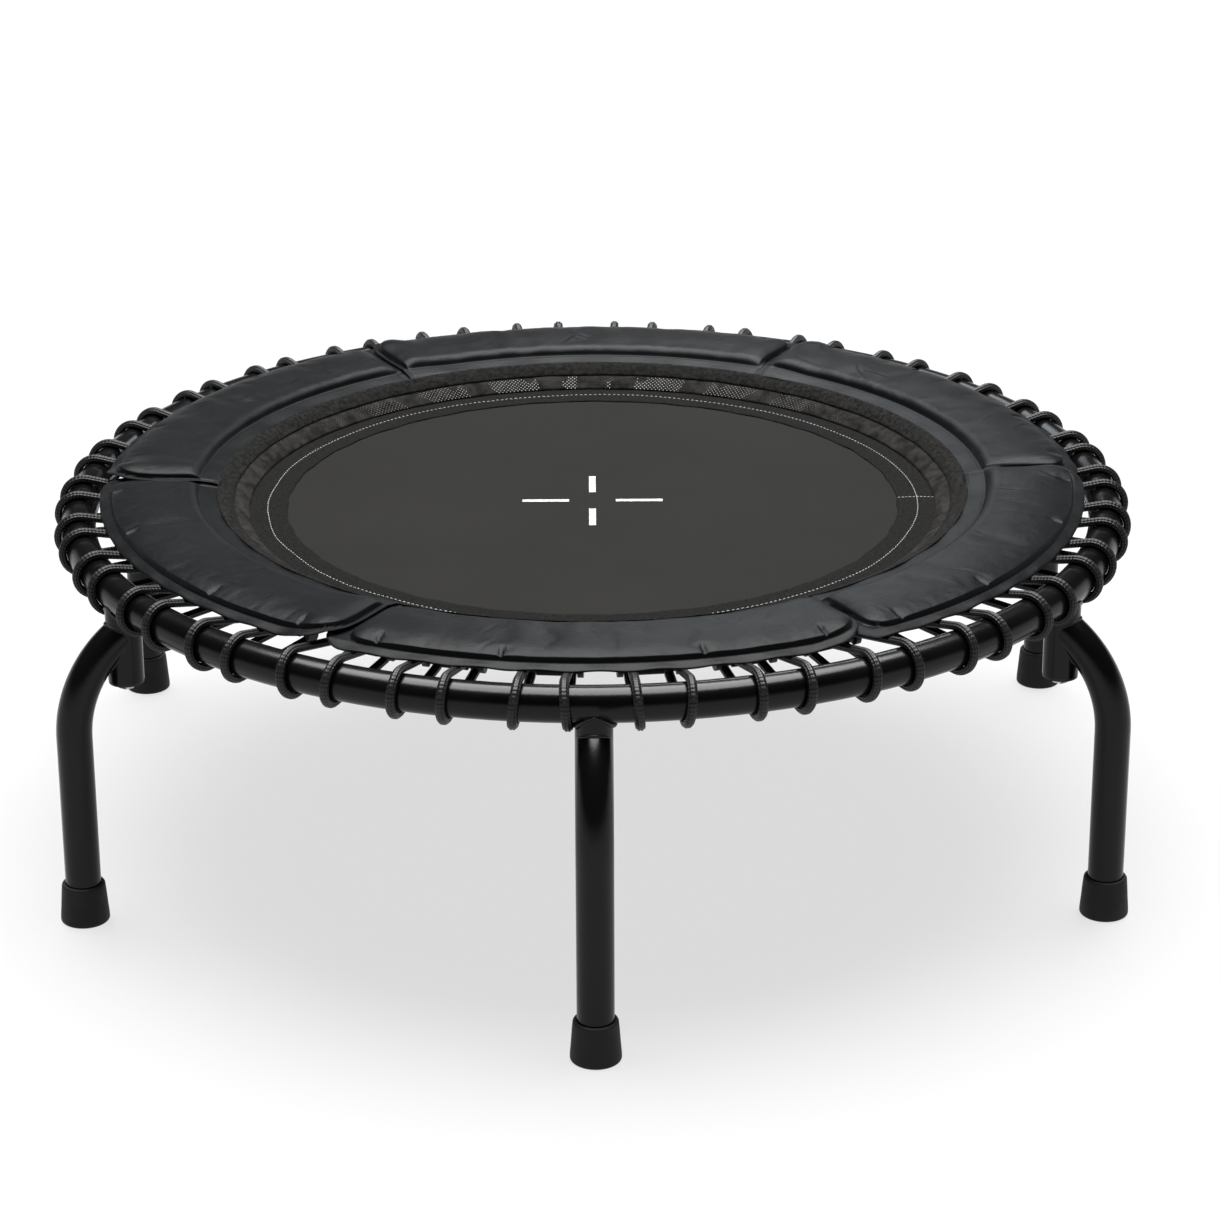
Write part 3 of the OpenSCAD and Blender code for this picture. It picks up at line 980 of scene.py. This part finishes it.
def swell(k):
    """Pumps up one panel's top cloth, held at its seams, and returns how it rose on a coarse grid."""
    radii = np.linspace(PAD_INNER_R, PAD_OUTER_R, 17)
    angles = np.linspace(-HALF_PANEL, HALF_PANEL, 90)
    r, a = np.meshgrid(radii, angles, indexing="ij")
    rim = np.minimum(np.minimum(r - radii[0], radii[-1] - r), HALF_PANEL * r - np.abs(a) * r)
    start = BASE_HEIGHTS[1] + 1.5 * MM + 5.2 * MM * plump(rim / 0.02)
    rng = np.random.default_rng(40 + k)
    start = start + rng.normal(0, 0.12 * MM, start.shape)
    top = spun(r, a, start)
    low = spun(r, a, BASE_HEIGHTS[1])
    rows, cols = r.shape
    upper = grid(top, radii, angles)
    lower = grid(low, radii, angles, flip=True)
    count = rows * cols
    rim_points = rim_of(rows, cols)
    mesh = bpy.data.meshes.new("swelling")
    faces = upper[1].tolist() + (lower[1] + count).tolist() + rim_walls(rim_points, count)
    mesh.from_pydata(np.vstack([upper[0], lower[0]]).tolist(), [], faces)
    pad = bpy.data.objects.new("swelling", mesh)
    bpy.context.scene.collection.objects.link(pad)
    bpy.context.view_layer.objects.active = pad
    held = pad.vertex_groups.new(name="held")
    held.add(rim_points + list(range(count, 2 * count)), 1.0, "REPLACE")
    cloth = pad.modifiers.new("cloth", "CLOTH")
    cloth.settings.quality = 6
    cloth.settings.mass = 0.25
    cloth.settings.tension_stiffness = 60
    cloth.settings.compression_stiffness = 60
    cloth.settings.bending_stiffness = 6
    cloth.settings.vertex_group_mass = "held"
    cloth.settings.use_pressure = True
    cloth.settings.uniform_pressure_force = 3
    cloth.settings.shrink_min = -0.003
    cloth.settings.effector_weights.gravity = 0
    cloth.collision_settings.use_collision = False
    scene = bpy.context.scene
    for step in range(1, 21):
        scene.frame_set(step)
    ready = pad.evaluated_get(bpy.context.evaluated_depsgraph_get())
    moved = np.zeros(len(mesh.vertices) * 3, np.float32)
    ready.data.vertices.foreach_get("co", moved)
    rise = moved.reshape(-1, 3)[:count, 2].reshape(rows, cols) - start
    scene.frame_set(1)
    bpy.data.objects.remove(pad)
    bpy.data.meshes.remove(mesh)
    return radii, angles, SWELL_SHARE * np.clip(rise, -SWELL_LIMIT, SWELL_LIMIT)


def sample(radii, angles, values, r, a):
    """Values on the coarse grid, smoothly read at other radii and angles."""
    i = np.clip((r - radii[0]) / (radii[-1] - radii[0]), 0, 1) * (len(radii) - 1)
    j = np.clip((a - angles[0]) / (angles[-1] - angles[0]), 0, 1) * (len(angles) - 1)
    i0 = np.minimum(i.astype(int), len(radii) - 2)
    j0 = np.minimum(j.astype(int), len(angles) - 2)
    fi, fj = ease(i - i0), ease(j - j0)
    near = values[i0, j0] * (1 - fj) + values[i0, j0 + 1] * fj
    far = values[i0 + 1, j0] * (1 - fj) + values[i0 + 1, j0 + 1] * fj
    return near * (1 - fi) + far * fi


def pinches(k, r, a):
    """A few sharp little creases where the cloth has been folded and pulled."""
    rng = np.random.default_rng(90 + k)
    depth = np.zeros_like(r)
    for _ in range(9):
        at_r = rng.uniform(PAD_INNER_R + 14 * MM, PAD_OUTER_R - 12 * MM)
        at_a = rng.uniform(-0.9, 0.9) * HALF_PANEL
        lean, long, deep = rng.uniform(0.2, 2.9), rng.uniform(7, 16) * MM, rng.uniform(0.3, 0.8) * MM
        x, y = r - at_r, (a - at_a) * at_r
        along = x * math.cos(lean) + y * math.sin(lean)
        across = y * math.cos(lean) - x * math.sin(lean) + 6 * along**2
        fold = np.exp(-((across / (1.4 * MM)) ** 2)) - 0.6 * np.exp(-(((across - 3 * MM) / (2.2 * MM)) ** 2))
        depth = depth + deep * fold * np.exp(-((along / long) ** 2))
    return depth


def soft_waves(k, r, a):
    """Broad, shallow unevenness of the foam under the cloth."""
    rng = np.random.default_rng(7 * k + 1)
    waves = np.zeros_like(r)
    for _ in range(14):
        turn, lean = rng.uniform(-70, 70), rng.uniform(-60, 60)
        waves = waves + rng.uniform(0.03, 0.12) * MM * np.sin(turn * a + lean * r + rng.uniform(0, TAU))
    return waves


def tack_puckers(k, r, a):
    """Where short bar tacks pull the cloth down just inside the outer seam."""
    depth = np.zeros_like(r)
    for tack in TACKS:
        lean = 0.08 * math.sin(3 * k + 9 * tack) * (PAD_OUTER_R - r)
        away = (a - tack - lean) * r
        reach = ease((r - PAD_OUTER_R + 17 * MM) / (8 * MM)) * ease((PAD_OUTER_R + 1.5 * MM - r) / (3 * MM))
        narrow = 2.4 * MM * np.exp(-((away / (1.3 * MM)) ** 2))
        broad = 0.9 * MM * np.exp(-((away / (8 * MM)) ** 2))
        depth = depth + reach * (narrow + broad)
    return depth


def panel_edges(r, a):
    """Distances inwards from a panel's upper lap, from its outline and from its seam."""
    to_hem = HEM_R - r
    to_over = (HALF_PANEL - a) * r + LAP_OVER
    to_under = (HALF_PANEL + a) * r + LAP_UNDER
    edge = np.minimum(
        edge_distance(to_over, to_hem, CORNER_OVER),
        edge_distance(to_under, to_hem, CORNER_UNDER),
    )
    seam = np.minimum(
        edge_distance(to_over + SEAM_OUT_OVER, to_hem, CORNER_OVER),
        edge_distance(to_under - SEAM_IN_UNDER, to_hem, CORNER_UNDER),
    )
    return to_over, edge, seam - HEM_W


def panel_top(k, r, a, rise):
    """A panel's top and underside heights, and the painted shade darkening its seams, at each radius and
    angle from the panel's middle."""
    base = np.interp(r, BASE_MARKS, BASE_HEIGHTS)
    to_over, edge, seam = panel_edges(r, a)
    inside = ease((to_over - 6 * MM) / (8 * MM))
    edge_rise = 0.45 * plump(seam / (1.8 * MM)) + 0.55 * plump(seam / (24 * MM))
    stuffed = (0.2 + 0.8 * plump((r - PAD_INNER_R) / (13 * MM))) * edge_rise
    stuffed = stuffed * ease((r - PAD_INNER_R + 1.5 * MM) / (3 * MM))
    height = stuffed * (PAD_H + soft_waves(k, r, a)) + np.clip(stuffed * 2, 0, 1) * rise
    height = height - np.clip(stuffed * 1.4, 0, 1) * (pinches(k, r, a) + tack_puckers(k, r, a))
    groove = np.exp(-((seam / (0.9 * MM)) ** 2))
    valley = np.exp(-(((r - PAD_INNER_R) / (2.2 * MM)) ** 2)) * inside
    height = height - 1.3 * MM * groove - 0.8 * MM * valley
    hem_wave = 0.7 * MM * np.sin(57 * a + k) * ease((r - PAD_OUTER_R) / HEM_W)
    flange_wave = 0.5 * MM * np.sin(31 * a + 2 * k) * ease((PAD_INNER_R - r) / (18 * MM))
    near_end = ease(1 - (to_over - 8 * MM) / (50 * MM))
    lift = near_end * (2.6 * MM + 2.8 * MM * ease((r - 0.4) / 0.05)) * ease((r - BAND_R) / (10 * MM) + 0.3)
    floor = base + lift + hem_wave + flange_wave
    roll = -0.6 * MM * ease(1 - edge / (1.2 * MM))
    top = floor + np.maximum(height, -0.9 * MM) + roll
    underside = floor - CLOTH_T
    # Painted shade: darker in the seam groove, in the valley at the inner edge and along the outline.
    shade = np.clip(0.9 * groove + 0.35 * valley + 0.5 * ease(1 - edge / (1.5 * MM)), 0, 1)
    return np.maximum(top, underside + 0.35 * MM), underside, shade


def panel_radii():
    """Radii of a panel's rows, closer together at its seams."""
    wanted = np.concatenate(
        [
            np.linspace(BAND_R, HEM_R, 52),
            np.linspace(PAD_INNER_R - 4 * MM, PAD_INNER_R + 4 * MM, 7),
            np.linspace(PAD_OUTER_R - 4 * MM, PAD_OUTER_R + 3 * MM, 15),
            [HEM_R - 0.8 * MM],
        ]
    )
    radii = np.unique(np.round(wanted, 5))
    radii = radii[np.concatenate([[True], np.diff(radii) > 0.3 * MM])]
    radii[-1] = HEM_R
    return radii


def make_panel(k):
    """One padded skirt panel: cloth, foam and backing in one closed form. Its end at the high
    azimuth lies over the next panel, and its other end under the one before."""
    radii = panel_radii()
    finer = np.geomspace(0.001, 0.09, 26)
    share = np.unique(np.concatenate([np.linspace(0, 1, 241), finer, 1 - finer]))
    low_end = -HALF_PANEL - (LAP_UNDER - corner_inset(radii, CORNER_UNDER)) / radii
    high_end = HALF_PANEL + (LAP_OVER - corner_inset(radii, CORNER_OVER)) / radii
    r = np.broadcast_to(radii[:, None], (len(radii), len(share)))
    a = low_end[:, None] + (high_end - low_end)[:, None] * share[None, :]
    lifted = sample(*swell(k), r, a)
    top, under, shade = panel_top(k, r, a, lifted)
    turned = a + leg_angle(k)
    middle_r = 410 * MM
    marks = np.linspace(0, TAU / BAYS * middle_r, len(share))
    upper = grid(spun(r, turned, top), radii, marks)
    lower = grid(spun(r, turned, under), radii, marks, flip=True)
    rows, cols = r.shape
    count = rows * cols
    walls = np.array(rim_walls(rim_of(rows, cols), count))
    verts = np.vstack([upper[0], lower[0]])
    faces = np.vstack([upper[1], lower[1] + count, walls])
    uvs = np.vstack([upper[2], lower[2], np.zeros((4 * len(walls), 2))])
    made = piece(f"skirt_panel_{k}", [(verts, faces, uvs)], PAD)
    # This attribute carries painted shade for the pad material's seams; the underside gets a flat 0.3 of it.
    depth = made.data.attributes.new("painted_seam_shade", "FLOAT", "POINT")
    depth.data.foreach_set("value", np.concatenate([shade.ravel(), np.full(count, 0.3)]).astype(np.float32))
    stands_for(made, "frame", "pad_fabric", f"pad_cover_{k}", f"pad_foam_{k}", f"pad_backing_{k}")


# ---------------------------------------------------------------- everything
make_cords()
make_steel()
make_mat()
make_border()
make_border_stitches()
make_print()
make_net()
make_band()
make_piping()
for panel in range(1, BAYS + 1):
    make_panel(panel)

{"cad": [list(c) for c in cad_box], "visual": [list(c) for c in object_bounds()]}
